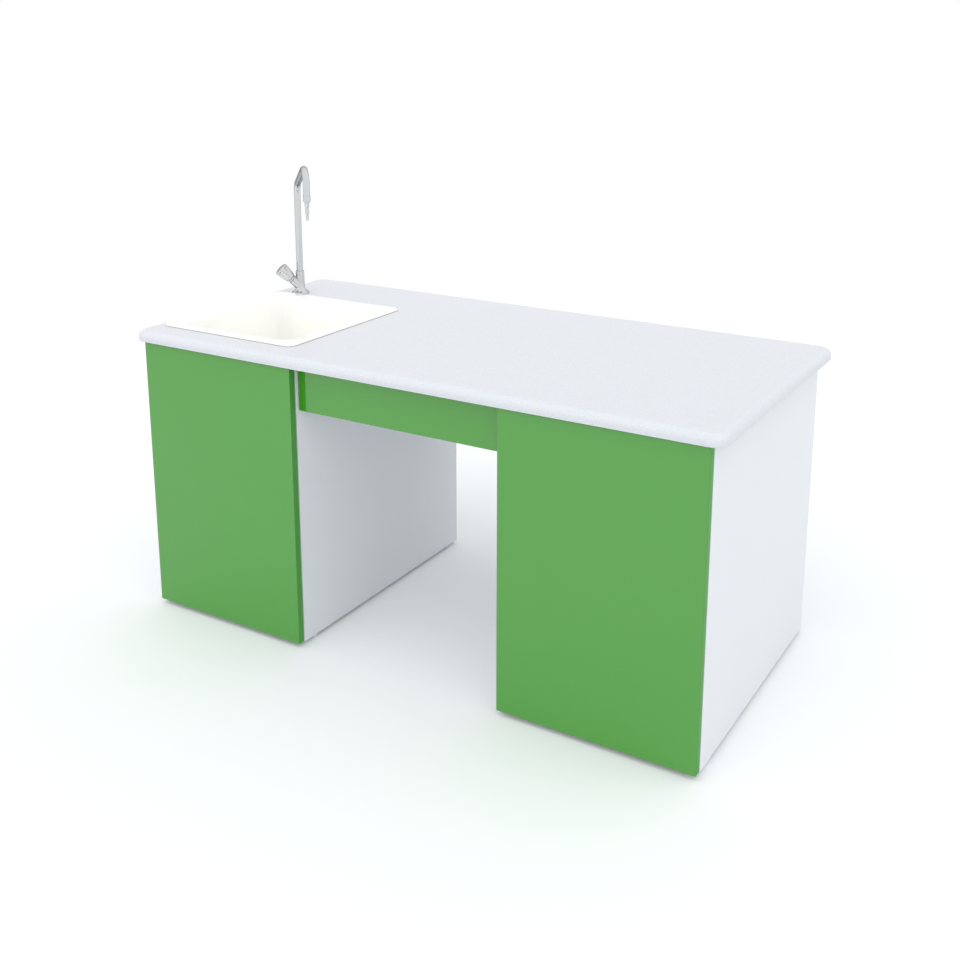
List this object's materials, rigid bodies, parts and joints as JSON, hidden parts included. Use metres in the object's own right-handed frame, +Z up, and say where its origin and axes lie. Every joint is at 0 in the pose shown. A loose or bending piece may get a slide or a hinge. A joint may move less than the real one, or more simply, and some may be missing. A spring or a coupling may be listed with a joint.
{
  "type": "laboratory table",
  "caption": "Laboratory table with cupboard pedestals behind plain gloss doors, a drawer over the knee space, a drop-in sink and a swivel tap with a hose nozzle.",
  "frame": {"origin": "on the floor under the middle of the worktop", "axes": "+X to the right along the front, +Y to the back, +Z up; the front faces -Y"},
  "size_m": [1.525, 0.744, 1.1012],
  "materials": {
    "worktop_laminate": "pale blue-grey laminate with a very fine speckle on particle board",
    "white_laminate": "white melamine-faced particle board",
    "green_gloss": "glossy green foil on fibreboard",
    "white_sink": "white glazed",
    "chrome": "polished chrome plate",
    "zinc_steel": "zinc-plated pressed steel",
    "white_plastic": "white moulded plastic"
  },
  "bodies": {
    "table": {"worktop": "worktop_laminate", "sink_bowl": "white_sink", "sink_waste": "chrome", "waste_nut": "white_plastic", "trap_bottle": "white_plastic", "trap_outlet": "white_plastic", "tap_body": "chrome", "tap_bonnet": "chrome", "tap_backnut": "zinc_steel", "left_outer_side": "white_laminate", "left_inner_side": "white_laminate", "left_bottom": "white_laminate", "left_back": "white_laminate", "right_outer_side": "white_laminate", "right_inner_side": "white_laminate", "right_bottom": "white_laminate", "right_back": "white_laminate", "left_front_rail": "white_laminate", "left_rear_rail": "white_laminate", "right_top": "white_laminate", "right_shelf": "white_laminate", "rear_stretcher": "white_laminate", "shelf_peg_1": "zinc_steel", "shelf_peg_2": "zinc_steel", "shelf_peg_3": "zinc_steel", "shelf_peg_4": "zinc_steel", "glide_1": "white_plastic", "glide_2": "white_plastic", "glide_3": "white_plastic", "glide_4": "white_plastic", "glide_5": "white_plastic", "glide_6": "white_plastic", "glide_7": "white_plastic", "glide_8": "white_plastic", "left_lower_hinge_arm": "zinc_steel", "left_upper_hinge_arm": "zinc_steel", "left_latch_case": "white_plastic", "runner_left_fixed": "zinc_steel", "right_lower_hinge_arm": "zinc_steel", "right_upper_hinge_arm": "zinc_steel", "right_latch_case": "white_plastic", "runner_right_fixed": "zinc_steel"},
    "left_door": {"left_door": "green_gloss", "left_lower_hinge_cup": "zinc_steel", "left_upper_hinge_cup": "zinc_steel"},
    "right_door": {"right_door": "green_gloss", "right_lower_hinge_cup": "zinc_steel", "right_upper_hinge_cup": "zinc_steel"},
    "drawer": {"drawer_front": "green_gloss", "drawer_left_side": "white_laminate", "drawer_right_side": "white_laminate", "drawer_back": "white_laminate", "drawer_bottom": "white_laminate", "runner_left_moving": "zinc_steel", "runner_right_moving": "zinc_steel"},
    "knob": {"tap_knob": "chrome"},
    "spout": {"tap_spout": "chrome", "tap_nozzle": "chrome"},
    "left_plunger": {"left_latch_plunger": "white_plastic"},
    "right_plunger": {"right_latch_plunger": "white_plastic"}
  },
  "joints": [
    {"name": "left_door_hinge", "type": "hinge", "parent": "table", "child": "left_door", "pos_m": [-0.725, -0.351, 0.3565], "axis": [0, 0, -1], "range_deg": [0, 95]},
    {"name": "right_door_hinge", "type": "hinge", "parent": "table", "child": "right_door", "pos_m": [0.725, -0.351, 0.3565], "axis": [0, 0, 1], "range_deg": [0, 95]},
    {"name": "drawer_slide", "type": "slide", "parent": "table", "child": "drawer", "axis": [0, -1, 0], "range_m": [0, 0.33]},
    {"name": "knob_turn", "type": "hinge", "parent": "table", "child": "knob", "pos_m": [-0.677, 0.171, 0.7488], "axis": [-0.5, -0.5, 0.7071], "range_deg": [0, 180]},
    {"name": "spout_swivel", "type": "hinge", "parent": "table", "child": "spout", "pos_m": [-0.677, 0.171, 0.8], "axis": [0, 0, 1], "range_deg": [-120, 120]},
    {"name": "left_latch_press", "type": "slide", "parent": "table", "child": "left_plunger", "axis": [0, 1, 0], "range_m": [0, 0.0025], "stiffness_N_per_m": 600},
    {"name": "right_latch_press", "type": "slide", "parent": "table", "child": "right_plunger", "axis": [0, 1, 0], "range_m": [0, 0.0025], "stiffness_N_per_m": 600}
  ]
}
